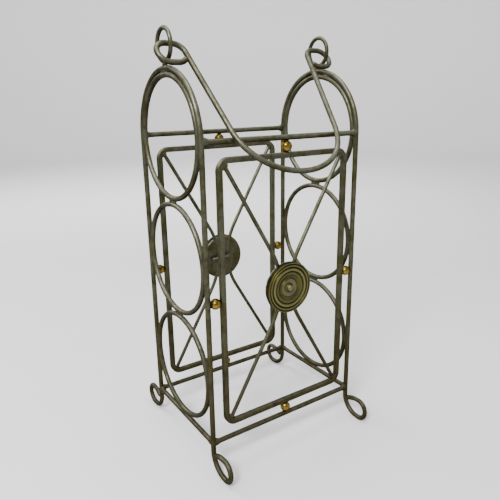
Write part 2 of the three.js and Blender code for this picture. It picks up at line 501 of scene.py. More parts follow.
class Shader:
    """Node tree of one procedural material, built node by node."""

    def __init__(self, name: str) -> None:
        """Makes an empty material with a Principled BSDF.

        Args:
            name: Name of the material.
        """
        self.material = bpy.data.materials.new(name)
        self.material.use_nodes = True
        self.tree = self.material.node_tree
        self.surface = self.tree.nodes["Principled BSDF"]
        self.place = self.add("ShaderNodeTexCoord").outputs["Object"]
        self.normal = self.add("ShaderNodeNewGeometry").outputs["Normal"]

    def add(self, kind: str, **settings: object) -> bpy.types.Node:
        """Adds a node.

        Args:
            kind: Blender's name of the node type.
            **settings: Properties of the node.

        Returns:
            The node.
        """
        node = self.tree.nodes.new(kind)
        for key, value in settings.items():
            setattr(node, key, value)
        return node

    def feed(self, socket: bpy.types.NodeSocket, value: object) -> None:
        """Links a socket, or sets its value.

        Args:
            socket: Input socket.
            value: Output socket to link from, or a plain value.
        """
        if isinstance(value, bpy.types.NodeSocket):
            self.tree.links.new(value, socket)
        else:
            socket.default_value = value

    def noise(
        self,
        size: float,
        detail: float = 3.0,
        rough: float = 0.55,
        stretch: Sequence[float] = (1.0, 1.0, 1.0),
    ) -> bpy.types.NodeSocket:
        """Noise over the piece.

        Args:
            size: Size of its largest blots, in metres.
            detail: Number of finer layers.
            rough: Strength of the finer layers.
            stretch: Shares by which the pattern is squeezed along X, Y and Z.

        Returns:
            The noise, from 0 to 1.
        """
        mapping = self.add("ShaderNodeMapping")
        self.feed(mapping.inputs["Vector"], self.place)
        mapping.inputs["Scale"].default_value = stretch
        node = self.add("ShaderNodeTexNoise")
        self.feed(node.inputs["Vector"], mapping.outputs["Vector"])
        node.inputs["Scale"].default_value = 1.0 / size
        node.inputs["Detail"].default_value = detail
        node.inputs["Roughness"].default_value = rough
        return node.outputs["Fac"]

    def between(
        self,
        value: bpy.types.NodeSocket,
        low: float,
        high: float,
        to_low: float = 0.0,
        to_high: float = 1.0,
    ) -> bpy.types.NodeSocket:
        """Maps a range of values to another, with smooth ends.

        Args:
            value: What is mapped.
            low: Value that becomes to_low.
            high: Value that becomes to_high.
            to_low: Lowest result.
            to_high: Highest result.

        Returns:
            The mapped value.
        """
        node = self.add("ShaderNodeMapRange", interpolation_type="SMOOTHSTEP")
        for name, number in (
            ("From Min", low), ("From Max", high), ("To Min", to_low), ("To Max", to_high),
        ):
            node.inputs[name].default_value = number
        self.feed(node.inputs["Value"], value)
        return node.outputs["Result"]

    def combine(self, how: str, first: object, second: object) -> bpy.types.NodeSocket:
        """Adds, multiplies or otherwise combines two values.

        Args:
            how: Operation of a Math node.
            first: Socket or number.
            second: Socket or number.

        Returns:
            The result.
        """
        node = self.add("ShaderNodeMath", operation=how)
        self.feed(node.inputs[0], first)
        self.feed(node.inputs[1], second)
        return node.outputs[0]

    def blend(self, share: object, under: object, over: object) -> bpy.types.NodeSocket:
        """Lays one colour over another.

        Args:
            share: How much of the upper colour shows.
            under: Lower colour, a socket or RGBA.
            over: Upper colour, a socket or RGBA.

        Returns:
            The blended colour.
        """
        node = self.add("ShaderNodeMix", data_type="RGBA")
        self.feed(node.inputs["Factor"], share)
        self.feed(node.inputs["A"], under)
        self.feed(node.inputs["B"], over)
        return node.outputs["Result"]

    def facing_up(self) -> bpy.types.NodeSocket:
        """How far the surface faces up, from -1 to 1."""
        return self.upright_share(self.normal)

    def height(self) -> bpy.types.NodeSocket:
        """Height over the floor, in metres."""
        return self.upright_share(self.place)

    def upright_share(self, vector: bpy.types.NodeSocket) -> bpy.types.NodeSocket:
        """Z of a vector.

        Args:
            vector: The vector.

        Returns:
            Its Z.
        """
        node = self.add("ShaderNodeSeparateXYZ")
        self.feed(node.inputs["Vector"], vector)
        return node.outputs["Z"]

    def bump(
        self, height: object, depth: float, strength: float, under: object = None
    ) -> bpy.types.NodeSocket:
        """Raises fine relief.

        Args:
            height: Height map from 0 to 1.
            depth: Full height of the relief, in metres.
            strength: Share of the relief that shows.
            under: Relief that this one lies on.

        Returns:
            The bent normal.
        """
        node = self.add("ShaderNodeBump")
        node.inputs["Strength"].default_value = strength
        node.inputs["Distance"].default_value = depth
        self.feed(node.inputs["Height"], height)
        if under is not None:
            self.feed(node.inputs["Normal"], under)
        return node.outputs["Normal"]

    def coat(
        self, colour: object, rough: object, normal: object, metallic: float, edge: Colour
    ) -> bpy.types.Material:
        """Sets the surface of a metal or a metallic paint.

        Args:
            colour: Base colour.
            rough: Roughness.
            normal: Normal, bent by the relief.
            metallic: How far the surface mirrors as metal does.
            edge: Tint of the light that glances off it.

        Returns:
            The material.
        """
        self.feed(self.surface.inputs["Base Color"], colour)
        self.feed(self.surface.inputs["Roughness"], rough)
        self.feed(self.surface.inputs["Normal"], normal)
        self.surface.inputs["Metallic"].default_value = metallic
        self.surface.inputs["Specular Tint"].default_value = edge
        return self.material


@dataclass(frozen=True)
class PaintedIron:
    """Old olive-grey paint on iron: mottled, stained brown and darker towards the floor, with painted shade on
    the faces that look down and a pale layer on the faces that look up, partly wear where hands and cloths rub
    it and partly painted highlight.
    """

    name: str = "painted_iron"
    paint: Colour = (0.078, 0.077, 0.050, 1.0)
    moss: Colour = (0.049, 0.047, 0.017, 1.0)
    # Dark stain colour, also used as painted shade on the faces that look down.
    stain_and_painted_shade: Colour = (0.013, 0.010, 0.004, 1.0)
    # Darker brown that the paint turns towards the floor.
    bottom_dark: Colour = (0.028, 0.020, 0.004, 1.0)
    # Pale colour on the faces that look up: partly worn bare metal, partly painted highlight.
    worn_and_highlight: Colour = (0.330, 0.320, 0.245, 1.0)
    edge: Colour = (0.070, 0.060, 0.030, 1.0)
    # How strongly the faces that look up turn pale: wear and painted highlight.
    wear_and_highlight: float = 0.55
    bottom_dark_height: float = 0.3
    metallic: float = 0.75

    def build(self) -> bpy.types.Material:
        """Builds the material.

        Returns:
            The material.
        """
        shader = Shader(self.name)
        mottle = shader.noise(26 * MM, detail=4.0, rough=0.6)
        blots = shader.noise(9 * MM, detail=3.0, rough=0.6)
        streaks = shader.noise(5 * MM, detail=2.0, stretch=(1.0, 1.0, 0.12))
        grain = shader.noise(1.1 * MM, detail=2.0)
        colour = shader.blend(shader.between(mottle, 0.42, 0.62), self.paint, self.moss)
        # Darker and browner towards the floor.
        low_down = shader.between(shader.height(), 0.0, self.bottom_dark_height, 0.95, 0.0)
        bottom_dark_share = shader.combine("MULTIPLY", low_down, shader.between(mottle, 0.3, 0.6, 1.0, 0.6))
        colour = shader.blend(bottom_dark_share, colour, self.bottom_dark)
        colour = shader.blend(shader.between(streaks, 0.54, 0.8, 0.0, 0.4), colour, self.stain_and_painted_shade)
        colour = shader.blend(shader.between(blots, 0.5, 0.8, 0.0, 0.55), colour, self.stain_and_painted_shade)
        burnt = shader.noise(34 * MM, detail=2.0)
        colour = shader.blend(shader.between(burnt, 0.52, 0.72, 0.0, 0.5), colour, self.stain_and_painted_shade)
        # Painted shade: the faces that look down are darkened towards the stain colour.
        grime_and_painted_shade = shader.between(shader.facing_up(), -0.9, 0.05, 0.9, 0.0)
        colour = shader.blend(grime_and_painted_shade, colour, self.stain_and_painted_shade)
        # Pale on the faces that look up, in patches and less near the floor: partly wear, partly painted
        # highlight.
        rubbed_and_highlit = shader.combine("MULTIPLY", shader.between(shader.facing_up(), -0.1, 1.0), self.wear_and_highlight)
        patchy = shader.between(blots, 0.36, 0.66, 1.0, 0.5)
        high_up = shader.between(shader.height(), 0.0, 0.8 * self.bottom_dark_height, 0.3, 1.0)
        worn_and_highlight = shader.combine("MULTIPLY", rubbed_and_highlit, shader.combine("MULTIPLY", patchy, high_up))
        colour = shader.blend(worn_and_highlight, colour, self.worn_and_highlight)
        speck = shader.between(grain, 0.3, 0.7, 0.84, 1.14)
        dust = shader.add("ShaderNodeVectorMath", operation="SCALE")
        shader.feed(dust.inputs[0], colour)
        shader.feed(dust.inputs["Scale"], speck)
        dull = shader.between(blots, 0.3, 0.7, 0.34, 0.52)
        rough = shader.combine("ADD", dull, shader.between(grain, 0.3, 0.7, -0.04, 0.08))
        relief = shader.bump(grain, 0.12 * MM, 0.5, shader.bump(blots, 0.5 * MM, 0.35))
        return shader.coat(dust.outputs["Vector"], rough, relief, self.metallic, self.edge)


@dataclass(frozen=True)
class BronzedCasting:
    """Olive-gold bronzed casting: dark in its grooves, bright on its ridges.

    The centre lies on the back of the casting, and facing is -1 for one that looks to -Y and 1 to +Y.
    """

    centre: Vector
    facing: float
    radius: float
    name: str = "bronzed_casting"
    bronze: Colour = (0.064, 0.058, 0.014, 1.0)
    moss: Colour = (0.046, 0.050, 0.016, 1.0)
    ridge: Colour = (0.160, 0.144, 0.068, 1.0)
    pewter: Colour = (0.118, 0.103, 0.072, 1.0)
    grime: Colour = (0.007, 0.005, 0.001, 1.0)
    edge: Colour = (0.120, 0.105, 0.045, 1.0)
    metallic: float = 0.7
    face_depth: float = 6.2 * MM
    groove_depth: float = 1.4 * MM
    # Rings worn to bare metal, the hub and the inner shoulder: from and to, as shares of the radius, and how
    # bare they are.
    bare_bands: tuple[tuple[float, float, float], ...] = ((0.17, 0.36, 0.9), (0.52, 0.61, 0.55))
    band_blur: float = 0.03

    def build(self) -> bpy.types.Material:
        """Builds the material.

        Returns:
            The material.
        """
        shader = Shader(self.name)
        split = shader.add("ShaderNodeSeparateXYZ")
        shader.feed(split.inputs["Vector"], shader.place)
        out = shader.combine("SUBTRACT", split.outputs["Y"], self.centre.y)
        depth = shader.combine("MULTIPLY", out, self.facing)
        mottle = shader.noise(11 * MM, detail=4.0, rough=0.6)
        grain = shader.noise(0.9 * MM, detail=2.0)
        colour = shader.blend(shader.between(mottle, 0.4, 0.66), self.bronze, self.moss)
        face, groove = self.face_depth, self.groove_depth
        away = self.from_axis(shader)
        in_grooves = shader.between(away, 0.56 * self.radius, 0.62 * self.radius)
        grime_and_painted_shade = shader.between(depth, face - groove, face - 0.25 * groove, 0.95, 0.0)
        grime_and_painted_shade = shader.combine("MULTIPLY", grime_and_painted_shade, in_grooves)
        uneven = shader.between(mottle, 0.3, 0.7, 0.65, 1.0)
        colour = shader.blend(shader.combine("MULTIPLY", grime_and_painted_shade, uneven), colour, self.grime)
        rubbed_and_highlit = shader.between(depth, face - 0.3 * groove, face + 0.1 * groove, 0.0, 0.8)
        colour = shader.blend(rubbed_and_highlit, colour, self.ridge)
        for inner, outer, strength in self.bare_bands:
            blur = self.band_blur
            inside = shader.between(away, (outer - blur) * self.radius, outer * self.radius, strength, 0.0)
            past = shader.between(away, inner * self.radius, (inner + blur) * self.radius)
            bare = shader.combine("MULTIPLY", shader.combine("MULTIPLY", inside, past), uneven)
            colour = shader.blend(bare, colour, self.pewter)
        rough = shader.between(mottle, 0.3, 0.7, 0.34, 0.52)
        relief = shader.bump(grain, 0.08 * MM, 0.5, shader.bump(mottle, 0.4 * MM, 0.3))
        return shader.coat(colour, rough, relief, self.metallic, self.edge)

    def from_axis(self, shader: Shader) -> bpy.types.NodeSocket:
        """Distance from the axis of the turned rings.

        Args:
            shader: Material that is being built.

        Returns:
            The distance, in metres.
        """
        away = shader.add("ShaderNodeVectorMath", operation="SUBTRACT")
        shader.feed(away.inputs[0], shader.place)
        away.inputs[1].default_value = self.centre
        flat = shader.add("ShaderNodeVectorMath", operation="MULTIPLY")
        shader.feed(flat.inputs[0], away.outputs["Vector"])
        flat.inputs[1].default_value = (1.0, 0.0, 1.0)
        length = shader.add("ShaderNodeVectorMath", operation="LENGTH")
        shader.feed(length.inputs[0], flat.outputs["Vector"])
        return length.outputs["Value"]


@dataclass(frozen=True)
class OldBrass:
    """Polished brass gone brown where cloths don't reach."""

    name: str = "old_brass"
    bright: Colour = (0.200, 0.138, 0.028, 1.0)
    brown: Colour = (0.070, 0.050, 0.012, 1.0)
    edge: Colour = (0.100, 0.078, 0.022, 1.0)
    metallic: float = 1.0

    def build(self) -> bpy.types.Material:
        """Builds the material.

        Returns:
            The material.
        """
        shader = Shader(self.name)
        tarnish = shader.noise(8 * MM, detail=3.0, rough=0.5)
        grain = shader.noise(0.8 * MM, detail=2.0)
        browned = shader.between(tarnish, 0.46, 0.72, 0.05, 0.85)
        colour = shader.blend(browned, self.bright, self.brown)
        rough = shader.between(tarnish, 0.4, 0.75, 0.26, 0.48)
        return shader.coat(colour, rough, shader.bump(grain, 0.04 * MM, 0.4), self.metallic, self.edge)


@dataclass(frozen=True)
class PaleFloor:
    """Plain pale paper of the studio."""

    name: str = "pale_floor"
    paper: Colour = (0.84, 0.84, 0.83, 1.0)

    def build(self) -> bpy.types.Material:
        """Builds the material.

        Returns:
            The material.
        """
        shader = Shader(self.name)
        shader.surface.inputs["Base Color"].default_value = self.paper
        shader.surface.inputs["Roughness"].default_value = 0.75
        return shader.material


def dress(piece: Workpiece, material: bpy.types.Material) -> None:
    """Gives a piece its material.

    Args:
        piece: Piece to dress.
        material: Its only material.
    """
    piece.obj.data.materials.clear()
    piece.obj.data.materials.append(material)


@dataclass(frozen=True)
class Unevenness:
    """Noises by which surfaces are uneven: of forged rods and of puddled weld metal."""

    forged: bpy.types.Texture
    puddled: bpy.types.Texture

    @classmethod
    def make(cls) -> "Unevenness":
        """Makes the noise textures.

        Returns:
            The textures.
        """
        return cls(cls.clouds("forged", 11 * MM), cls.clouds("puddled", 3.4 * MM))

    @staticmethod
    def clouds(name: str, size: float) -> bpy.types.Texture:
        """Makes one cloud texture.

        Args:
            name: Name of the texture.
            size: Size of its blots, in metres.

        Returns:
            The texture.
        """
        texture = bpy.data.textures.new(name, "CLOUDS")
        texture.noise_scale = size
        texture.noise_depth = 1
        return texture


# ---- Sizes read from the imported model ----


@dataclass(frozen=True)
class Measures:
    """Sizes of the rack that several sub-assemblies share."""

    half_width: float
    half_depth: float
    bottom: float
    top: float
    ring_height: float
    rod: float

    @classmethod
    def read(cls) -> "Measures":
        """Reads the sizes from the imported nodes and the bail's joint.

        Returns:
            The sizes.
        """
        joint = frame["joints"][0]
        return cls(
            half_width=node_middle("right_cross_rod").x,
            half_depth=node_middle("back_top_rod").y,
            bottom=node_middle("right_cross_rod").z,
            top=node_middle("back_top_rod").z,
            ring_height=joint["pos_m"][2],
            rod=node_size("right_cross_rod").z / 2,
        )

    @property
    def middle(self) -> float:
        """Height of the middle of the long walls."""
        return (self.bottom + self.top) / 2


class Beads:
    """Weld beads of one wall: a bead modelled once, copied to each place and joined into one piece."""

    END_SHAPE = (1.1, 1.1, 0.94)  # how the two ends of a ball are blunted into a bead
    UNEVEN = 0.6 * MM
    ALL_SMOOTH = 180.0

    def __init__(self, name: str, texture: bpy.types.Texture, unit: float) -> None:
        """Models the first bead at the origin.

        Args:
            name: Name of the joined piece.
            texture: Unevenness of the weld metal.
            unit: Radius of the welded bars; sizes of beads are given in it.
        """
        deselect_all()
        bpy.ops.mesh.primitive_uv_sphere_add(segments=16, ring_count=10, radius=1.0)
        self.model = Workpiece(name + "_model")
        for end in (-1.0, 1.0):
            self.model.pick(lambda centre, normal, end=end: end * centre.z > 0.5)
            bpy.ops.transform.resize(value=self.END_SHAPE, center_override=(0.0, 0.0, 0.0))
        self.model.leave()
        self.model.modify("SUBSURF", levels=1, render_levels=1)
        self.name = name
        self.texture = texture
        self.unit = unit
        self.laid: list[Workpiece] = []

    def lay(self, at: Vector, size: Sequence[float], turn: Matrix | None = None) -> None:
        """Lays one bead.

        Args:
            at: Middle of the bead.
            size: Half lengths along X, Y and Z, in units.
            turn: Turn of the bead about its middle.
        """
        bead = self.model.copy(f"{self.name}_{len(self.laid)}")
        turned = turn.to_4x4() if turn is not None else Matrix.Identity(4)
        shape = Matrix.Diagonal((*(share * self.unit for share in size), 1.0))
        bead.place(Matrix.Translation(at) @ turned @ shape)
        self.laid.append(bead)

    def join(self) -> Workpiece:
        """Joins the beads.

        Returns:
            The joined piece.
        """
        first, *others = self.laid
        first.swallow(others)
        bpy.data.objects.remove(self.model.obj)
        first.obj.name = self.name
        first.obj.data.name = self.name
        first.wobble(self.texture, self.UNEVEN)
        first.smooth(self.ALL_SMOOTH)
        return first


# ---- End walls ----


@dataclass
class EndWall:
    """One end: a hoop on curled feet, three ovals, the cross rod between the legs and the bail's ring."""

    side: str
    sizes: Measures
    uneven: Unevenness
    foot_bend_radius: float = 22 * MM
    foot_drop: float = 10.5 * MM
    foot_flat: float = 3 * MM
    foot_curl_radius: float = 12 * MM
    foot_tail_radius: float = 40 * MM
    foot_tail_turn: float = 29.0
    forging: float = 0.22 * MM
    wire_forging: float = 0.132 * MM
    root_gap: float = 0.2  # from the end of a welded rod to the middle of the leg, in radii
    # Half lengths of the welds along X, Y and Z, in radii: at an oval's sides and foot, at the crown and under
    # the ring.
    oval_side_weld: tuple[float, float, float] = (0.78, 0.85, 3.2)
    oval_foot_weld: tuple[float, float, float] = (0.78, 3.0, 0.9)
    oval_foot_drop: float = 0.4 * MM
    crown_weld: tuple[float, float, float] = (0.78, 4.0, 0.8)
    ring_weld: tuple[float, float, float] = (0.84, 1.45, 0.95)
    pieces: list[Workpiece] = field(default_factory=list)

    @property
    def x(self) -> float:
        """Place of the wall along X."""
        return node_middle(f"{self.side}_cross_rod").x

    def build(self) -> None:
        """Builds every piece of the wall."""
        self.hoop()
        for place in ("upper", "middle", "lower"):
            self.oval(place)
        self.cross_rod()
        self.ring()
        self.beads()

    def keep(self, piece: Workpiece, *nodes: str) -> None:
        """Hands a finished piece over and remembers it for dressing.

        Args:
            piece: The piece.
            *nodes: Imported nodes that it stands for.
        """
        piece.hand_over(FRAME_BODY, Slot.IRON, *nodes)
        self.pieces.append(piece)

    def hoop(self) -> None:
        """Bends the arch, the legs and the curled feet, half of it drawn out and mirrored."""
        s = self.sizes
        crown = Vector((self.x, 0.0, s.top + s.half_depth))
        bar = Bar(f"{self.side}_bent_hoop", crown, Y_AXIS, Z_AXIS, s.rod)
        bar.bend(s.half_depth, -90).run(s.top - s.bottom + self.foot_drop)
        bar.bend(self.foot_bend_radius, 90).run(self.foot_flat)
        bar.bend(self.foot_curl_radius, 180)
        bar.bend(self.foot_tail_radius, self.foot_tail_turn).round_end().finish()
        self.keep(bar.forge(self.uneven.forged, self.forging), f"{self.side}_hoop")

    def oval(self, place: str) -> None:
        """Bends one oval as a circle and presses it to its height.

        Args:
            place: upper, middle or lower.
        """
        node = f"{self.side}_{place}_oval"
        rod = self.sizes.rod
        size = node_size(node)
        radius = size.y / 2 - rod
        pressed = (size.z / 2 - rod) / radius
        middle = node_middle(node)
        bar = Bar(f"{node}_ring", middle + radius * Z_AXIS, Y_AXIS, Z_AXIS, rod)
        bar.bend(radius, -180).finish()
        bar.edit()
        bpy.ops.mesh.select_all(action="SELECT")
        bpy.ops.transform.resize(value=(1.0, 1.0, pressed), center_override=middle)
        bar.leave()
        self.keep(bar.forge(self.uneven.forged, self.forging), node)

    def cross_rod(self) -> None:
        """Draws the rod between the legs, ending in a weld at each leg."""
        s = self.sizes
        middle = Vector((self.x, 0.0, s.bottom))
        bar = Bar(f"{self.side}_welded_cross_rod", middle, Y_AXIS, Z_AXIS, s.rod)
        bar.run(s.half_depth - (Bar.FILLET_REACH + self.root_gap) * s.rod).fillet().finish()
        self.keep(bar.forge(self.uneven.forged, self.forging), f"{self.side}_cross_rod")

    def ring(self) -> None:
        """Bends the ring that carries an eye of the bail."""
        node = f"{self.side}_ring"
        size = node_size(node)
        wire = size.x / 2
        radius = size.z / 2 - wire
        bar = Bar(f"{node}_wire", node_middle(node) + radius * Z_AXIS, Y_AXIS, Z_AXIS, wire)
        bar.bend(radius, -180).finish()
        self.keep(bar.forge(self.uneven.forged, self.wire_forging), node)

    def beads(self) -> None:
        """Lays the welds where the ovals, the hoop, the cross rod and the ring touch."""
        s = self.sizes
        beads = Beads(f"{self.side}_wall_welds", self.uneven.puddled, s.rod)
        for place in ("upper", "middle", "lower"):
            low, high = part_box(f"{self.side}_{place}_oval")
            for y in (low.y, high.y):
                beads.lay(Vector((self.x, y, (low.z + high.z) / 2)), self.oval_side_weld)
            beads.lay(Vector((self.x, 0.0, low.z - self.oval_foot_drop)), self.oval_foot_weld)
        crown = s.top + s.half_depth + s.rod
        beads.lay(Vector((self.x, 0.0, crown - 2 * s.rod)), self.crown_weld)
        neck = (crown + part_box(f"{self.side}_ring")[0].z) / 2
        beads.lay(Vector((self.x, 0.0, neck)), self.ring_weld)
        self.keep(beads.join())

    def dress(self, iron: bpy.types.Material) -> None:
        """Paints the wall.

        Args:
            iron: Finish of every piece.
        """
        for piece in self.pieces:
            dress(piece, iron)


# ---- Long walls ----


@dataclass
class Medallion:
    """A turned casting on the outside of a long wall, bedded in solder on the bent bars."""

    name: str
    facing: float
    texture: bpy.types.Texture
    corners: int = 96
    back_share: float = 0.975  # of the radius, where the back is chamfered
    back_chamfer: float = 0.6 * MM
    bed_corners: int = 72
    bed_share: float = 0.972
    bed_uneven: float = 0.7 * MM
    bed_inset: float = 0.3
    # How far each layer of the solder lies behind the last, in millimetres, and its width against it.
    bed_layers: tuple[tuple[float, float], ...] = (
        (1.0, 1.0), (1.0, 0.997), (0.7, 0.985), (0.5, 0.96), (0.3, 0.92),
    )
    sharp_above: float = 50.0
    # Share of the radius, and height in millimetres over the face of the rim.
    turning: tuple[tuple[float, float], ...] = (
        (1.0, -1.5), (0.992, -0.7), (0.98, -0.25), (0.962, -0.05), (0.947, -0.25),
        (0.934, -0.8), (0.92, -1.25), (0.908, -1.25), (0.896, -0.8), (0.884, -0.2),
        (0.866, 0.05), (0.848, 0.0), (0.833, -0.35), (0.818, -1.0), (0.804, -1.45),
        (0.79, -1.45), (0.776, -1.0), (0.762, -0.3), (0.742, 0.1), (0.715, 0.25),
        (0.688, 0.1), (0.668, -0.3), (0.652, -0.9), (0.636, -1.3), (0.624, -1.3),
        (0.61, -0.9), (0.59, -0.55), (0.56, -0.6), (0.53, -1.0), (0.495, -1.8),
        (0.45, -2.6), (0.41, -2.95), (0.385, -2.85), (0.368, -2.3), (0.354, -1.6),
        (0.334, -1.2), (0.3, -1.1), (0.255, -1.2), (0.222, -1.6), (0.198, -2.1),
        (0.178, -2.1), (0.16, -1.7), (0.142, -1.0), (0.128, -0.1), (0.118, 0.7),
        (0.1, 1.55), (0.07, 2.2), (0.035, 2.46), (0.012, 2.5),
    )

    def build(self) -> tuple[Workpiece, Workpiece]:
        """Builds the casting and its solder bed.

        Returns:
            The casting and the bed.
        """
        low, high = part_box(f"{self.name}_medallion")
        back = high.y if self.facing < 0 else low.y
        self.centre = Vector(((low.x + high.x) / 2, back, (low.z + high.z) / 2))
        self.radius = (high.x - low.x) / 2
        casting = self.casting(high.y - low.y)
        bed = self.bed()
        turned = Matrix.Rotation(-self.facing * math.pi / 2, 4, "X")
        for piece in (casting, bed):
            piece.place(Matrix.Translation(self.centre) @ turned)
            piece.smooth(self.sharp_above)
        casting.hand_over(FRAME_BODY, Slot.CASTING, f"{self.name}_medallion")
        bed.hand_over(FRAME_BODY, Slot.IRON)
        return casting, bed

    def casting(self, thickness: float) -> Workpiece:
        """Turns the casting's face ring by ring, its back lying on z = 0.

        Args:
            thickness: Height of the knob over the back.

        Returns:
            The casting, facing +Z.
        """
        face = thickness - self.turning[-1][1] * MM
        deselect_all()
        back = self.back_share * self.radius
        bpy.ops.mesh.primitive_circle_add(vertices=self.corners, radius=back, fill_type="NGON")
        casting = Workpiece(f"{self.name}_cast_medallion")
        casting.edit()
        bpy.ops.mesh.select_all(action="SELECT")
        casting.lift(self.back_chamfer)
        casting.widen(1.0 / self.back_share)
        share, level = self.turning[0]
        casting.lift(face + level * MM - self.back_chamfer)
        for next_share, next_level in self.turning[1:]:
            casting.lift((next_level - level) * MM)
            casting.widen(next_share / share)
            share, level = next_share, next_level
        casting.tidy()
        casting.leave()
        return casting

    def bed(self) -> Workpiece:
        """Pours the solder that fills the room between the casting and the bars.

        Returns:
            The bed, its front on z = 0.
        """
        deselect_all()
        front = self.bed_share * self.radius
        bpy.ops.mesh.primitive_circle_add(vertices=self.bed_corners, radius=front, fill_type="NGON")
        bed = Workpiece(f"{self.name}_medallion_bed")
        bed.edit()
        bpy.ops.mesh.select_all(action="SELECT")
        for drop, ratio in self.bed_layers:
            bed.lift(-drop * MM)
            bed.widen(ratio)
        for _ in range(2):
            bpy.ops.mesh.inset(thickness=self.bed_inset * self.radius, depth=0.0)
        bed.tidy()
        bed.leave()
        bed.wobble(self.texture, self.bed_uneven)
        return bed


@dataclass
class LongWall:
    """Front or back: two rods, a framed panel with bent bars and a medallion, and the balls that hold it.

    The front wall's facing is -1 and the back wall's is 1, along Y.
    """

    name: str
    facing: float
    sizes: Measures
    uneven: Unevenness
    frame_corner: float = 11 * MM
    bend_radius: float = 85 * MM
    edge_rounding: float = 0.8 * MM
    forging: float = 0.2 * MM
    root_gap: float = 0.2  # from the end of a welded rod to the middle of the leg, in radii
    # Welds, in radii of the bent bars: the spread of those in the corners, their half thickness and slimness,
    # and the half lengths of those at the tie bar.
    corner_weld: float = 1.5
    corner_weld_depth: float = 1.12
    corner_weld_slimness: float = 0.8
    tie_weld: tuple[float, float, float] = (1.5, 0.8, 1.2)
    # The solder necks of a ball: how far each ring is drawn on, in millimetres, and its width against the
    # last.
    ball_neck: tuple[tuple[float, float], ...] = ((0.1, 0.9), (0.22, 1.0), (0.22, 1.25), (0.35, 1.35))
    ball_pole: float = 0.93  # share of the radius past which a ball's faces belong to a neck
    iron: list[Workpiece] = field(default_factory=list)
    brass: list[Workpiece] = field(default_factory=list)

    @property
    def y(self) -> float:
        """Place of the wall along Y."""
        return node_middle(f"{self.name}_top_rod").y

    def build(self) -> None:
        """Builds every piece of the wall."""
        for place in ("top", "bottom"):
            self.rod(place)
        self.panel_frame()
        for place, side in (("left", -1.0), ("right", 1.0)):
            self.bent_bar(place, side)
        self.tie_bar()
        self.medallion = Medallion(self.name, self.facing, self.uneven.puddled)
        self.casting, bed = self.medallion.build()
        self.iron.append(bed)
        self.balls()
        self.beads()

    def keep(self, piece: Workpiece, *nodes: str) -> None:
        """Hands a finished iron piece over and remembers it for dressing.

        Args:
            piece: The piece.
            *nodes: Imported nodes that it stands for.
        """
        piece.hand_over(FRAME_BODY, Slot.IRON, *nodes)
        self.iron.append(piece)

    def rod(self, place: str) -> None:
        """Draws one of the rods that join the hoops.

        Args:
            place: top or bottom.
        """
        s = self.sizes
        node = f"{self.name}_{place}_rod"
        bar = Bar(f"{self.name}_welded_{place}_rod", node_middle(node), X_AXIS, Z_AXIS, s.rod)
        bar.run(s.half_width - (Bar.FILLET_REACH + self.root_gap) * s.rod).fillet().finish()
        self.keep(bar.forge(self.uneven.forged, self.forging), node)

    def panel_frame(self) -> None:
        """Bends the square bar of the panel round its four corners, half of it drawn out and mirrored."""
        node = f"{self.name}_panel_frame"
        size = node_size(node)
        half = size.y / 2
        reach_x = size.x / 2 - half - self.frame_corner
        reach_z = size.z / 2 - half - self.frame_corner
        start = node_middle(node) + (size.z / 2 - half) * Z_AXIS
        bar = Bar(f"{self.name}_bent_panel_frame", start, X_AXIS, Z_AXIS, half, Section.SQUARE)
        bar.run(reach_x).bend(self.frame_corner, -90)
        bar.run(2 * reach_z).bend(self.frame_corner, -90)
        bar.run(reach_x).finish()
        bar.ease_corners(self.edge_rounding)
        self.keep(bar.forge(self.uneven.forged, self.forging), node)

    def bent_bar(self, place: str, side: float) -> None:
        """Bends one of the thin bars that cross the panel from corner to corner.

        Args:
            place: left or right.
            side: -1 for left and 1 for right.
        """
        node = f"{self.name}_{place}_bent_bar"
        low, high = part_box(node)
        radius = (high.y - low.y) / 2
        near = (low.x if side > 0 else -high.x) + radius
        far = high.x if side > 0 else -low.x
        half_height = (high.z - low.z) / 2
        slope = self.slope_to(far, half_height, near, radius)
        rise = self.bend_radius * math.sin(slope)
        run = (half_height - rise - radius * math.sin(slope)) / math.cos(slope)
        start = Vector((side * near, self.y, self.sizes.middle))
        bar = Bar(f"{self.name}_{place}_bowed_bar", start, Z_AXIS, side * X_AXIS, radius)
        bar.bend(self.bend_radius, math.degrees(slope)).run(run).round_end().finish()
        self.keep(bar.forge(self.uneven.forged, self.forging), node)

    def slope_to(self, far: float, half_height: float, near: float, radius: float) -> float:
        """Slope of a bar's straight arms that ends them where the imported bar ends.

        Args:
            far: Outermost reach of the bar from the middle of the wall.
            half_height: Reach of the bar up from the middle.
            near: Distance of the bend's middle line from the middle of the wall.
            radius: Half the bar's thickness.

        Returns:
            The angle from upright, in radians.
        """
        slope = 0.5
        for _ in range(12):
            end_across = far - radius * math.cos(slope)
            end_up = half_height - radius * math.sin(slope)
            across = end_across - near - self.bend_radius
            away = math.hypot(across, end_up)
            slope = math.atan2(across, end_up) + math.asin(self.bend_radius / away)
        return slope

    def tie_bar(self) -> None:
        """Draws the short bar across the two bends."""
        node = f"{self.name}_tie_bar"
        size = node_size(node)
        bar = Bar(f"{self.name}_short_tie_bar", node_middle(node), X_AXIS, Z_AXIS, size.z / 2)
        bar.run(size.x / 2 - 0.25 * size.z).round_end().finish()
        self.keep(bar.forge(self.uneven.forged, self.forging), node)

